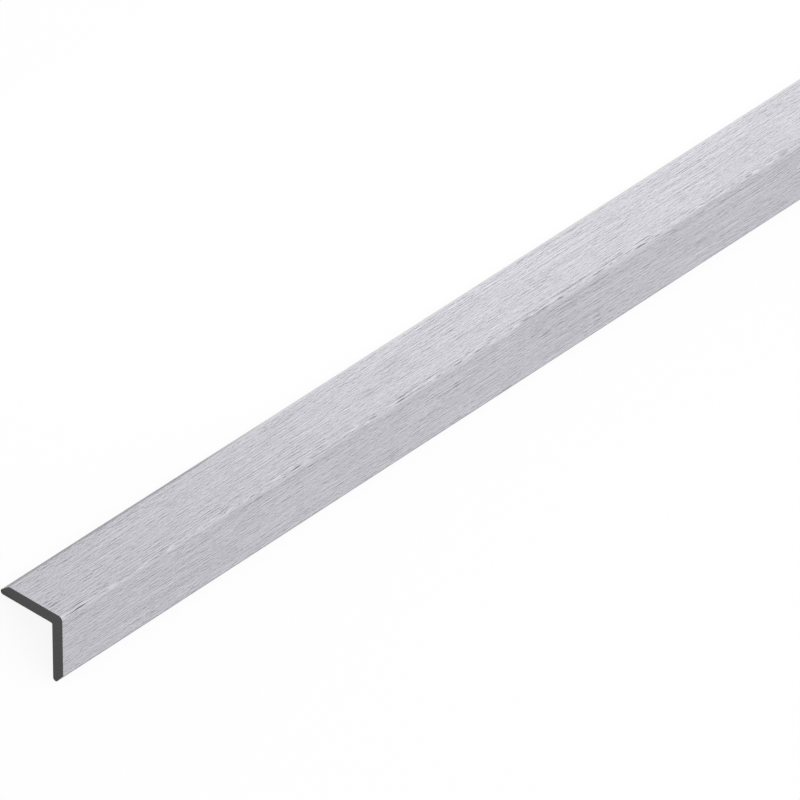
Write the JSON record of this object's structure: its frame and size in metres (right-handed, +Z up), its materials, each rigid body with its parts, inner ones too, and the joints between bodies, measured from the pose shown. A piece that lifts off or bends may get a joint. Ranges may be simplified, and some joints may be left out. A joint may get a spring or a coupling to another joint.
{
  "type": "composite angle trim",
  "caption": "Straight composite angle trim: equal-legged L section with a rounded heel, bevelled toes and a brushed silver-grey face, for covering corners and edges.",
  "frame": {"origin": "on the floor under the heel, at the middle of the length, with the trim lying on its two toes", "axes": "+X along the length, +Z up through the heel, Y across from toe to toe"},
  "size_m": [2.2, 0.0602, 0.0377],
  "materials": {
    "composite": "brushed silver-grey along the length on the outer faces, plain dark grey on the inner faces and sawn ends"
  },
  "bodies": {
    "root": {"angle_trim": "composite"}
  },
  "joints": []
}
